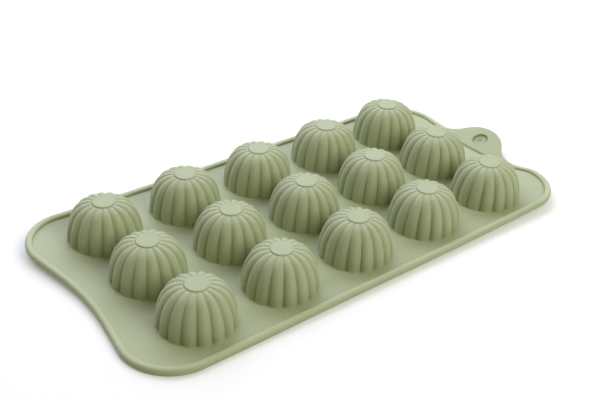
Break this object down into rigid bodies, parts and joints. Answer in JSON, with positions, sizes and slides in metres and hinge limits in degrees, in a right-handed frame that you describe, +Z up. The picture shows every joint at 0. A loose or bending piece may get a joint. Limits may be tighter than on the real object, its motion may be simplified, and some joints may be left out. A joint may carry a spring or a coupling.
{
  "type": "silicone chocolate mould",
  "caption": "Flexible silicone mould sheet with a grid of fluted dome cups, flat crowns that press in to free set chocolates, a rounded rim bead and a pull tab.",
  "frame": {"origin": "middle of the overall length and width, on the underside that lies on the table", "axes": "+X along the length towards the pull tab, +Y across to the back row of cups, +Z up through the crowns"},
  "size_m": [0.2118, 0.1034, 0.0172],
  "materials": {
    "sage_silicone": "satin matte"
  },
  "bodies": {
    "moulding": {"base_sheet": "sage_silicone", "rim_bead": "sage_silicone", "pull_tab": "sage_silicone", "cup_wall_a1": "sage_silicone", "cup_wall_a2": "sage_silicone", "cup_wall_a3": "sage_silicone", "cup_wall_a4": "sage_silicone", "cup_wall_a5": "sage_silicone", "cup_wall_b1": "sage_silicone", "cup_wall_b2": "sage_silicone", "cup_wall_b3": "sage_silicone", "cup_wall_b4": "sage_silicone", "cup_wall_b5": "sage_silicone", "cup_wall_c1": "sage_silicone", "cup_wall_c2": "sage_silicone", "cup_wall_c3": "sage_silicone", "cup_wall_c4": "sage_silicone", "cup_wall_c5": "sage_silicone"},
    "crown_a1": {"cup_crown_a1": "sage_silicone"},
    "crown_a2": {"cup_crown_a2": "sage_silicone"},
    "crown_a3": {"cup_crown_a3": "sage_silicone"},
    "crown_a4": {"cup_crown_a4": "sage_silicone"},
    "crown_a5": {"cup_crown_a5": "sage_silicone"},
    "crown_b1": {"cup_crown_b1": "sage_silicone"},
    "crown_b2": {"cup_crown_b2": "sage_silicone"},
    "crown_b3": {"cup_crown_b3": "sage_silicone"},
    "crown_b4": {"cup_crown_b4": "sage_silicone"},
    "crown_b5": {"cup_crown_b5": "sage_silicone"},
    "crown_c1": {"cup_crown_c1": "sage_silicone"},
    "crown_c2": {"cup_crown_c2": "sage_silicone"},
    "crown_c3": {"cup_crown_c3": "sage_silicone"},
    "crown_c4": {"cup_crown_c4": "sage_silicone"},
    "crown_c5": {"cup_crown_c5": "sage_silicone"}
  },
  "joints": [
    {"name": "press_a1", "type": "slide", "parent": "moulding", "child": "crown_a1", "axis": [0, 0, -1], "range_m": [0, 0.008], "stiffness_N_per_m": 800},
    {"name": "press_a2", "type": "slide", "parent": "moulding", "child": "crown_a2", "axis": [0, 0, -1], "range_m": [0, 0.008], "stiffness_N_per_m": 800},
    {"name": "press_a3", "type": "slide", "parent": "moulding", "child": "crown_a3", "axis": [0, 0, -1], "range_m": [0, 0.008], "stiffness_N_per_m": 800},
    {"name": "press_a4", "type": "slide", "parent": "moulding", "child": "crown_a4", "axis": [0, 0, -1], "range_m": [0, 0.008], "stiffness_N_per_m": 800},
    {"name": "press_a5", "type": "slide", "parent": "moulding", "child": "crown_a5", "axis": [0, 0, -1], "range_m": [0, 0.008], "stiffness_N_per_m": 800},
    {"name": "press_b1", "type": "slide", "parent": "moulding", "child": "crown_b1", "axis": [0, 0, -1], "range_m": [0, 0.008], "stiffness_N_per_m": 800},
    {"name": "press_b2", "type": "slide", "parent": "moulding", "child": "crown_b2", "axis": [0, 0, -1], "range_m": [0, 0.008], "stiffness_N_per_m": 800},
    {"name": "press_b3", "type": "slide", "parent": "moulding", "child": "crown_b3", "axis": [0, 0, -1], "range_m": [0, 0.008], "stiffness_N_per_m": 800},
    {"name": "press_b4", "type": "slide", "parent": "moulding", "child": "crown_b4", "axis": [0, 0, -1], "range_m": [0, 0.008], "stiffness_N_per_m": 800},
    {"name": "press_b5", "type": "slide", "parent": "moulding", "child": "crown_b5", "axis": [0, 0, -1], "range_m": [0, 0.008], "stiffness_N_per_m": 800},
    {"name": "press_c1", "type": "slide", "parent": "moulding", "child": "crown_c1", "axis": [0, 0, -1], "range_m": [0, 0.008], "stiffness_N_per_m": 800},
    {"name": "press_c2", "type": "slide", "parent": "moulding", "child": "crown_c2", "axis": [0, 0, -1], "range_m": [0, 0.008], "stiffness_N_per_m": 800},
    {"name": "press_c3", "type": "slide", "parent": "moulding", "child": "crown_c3", "axis": [0, 0, -1], "range_m": [0, 0.008], "stiffness_N_per_m": 800},
    {"name": "press_c4", "type": "slide", "parent": "moulding", "child": "crown_c4", "axis": [0, 0, -1], "range_m": [0, 0.008], "stiffness_N_per_m": 800},
    {"name": "press_c5", "type": "slide", "parent": "moulding", "child": "crown_c5", "axis": [0, 0, -1], "range_m": [0, 0.008], "stiffness_N_per_m": 800}
  ]
}
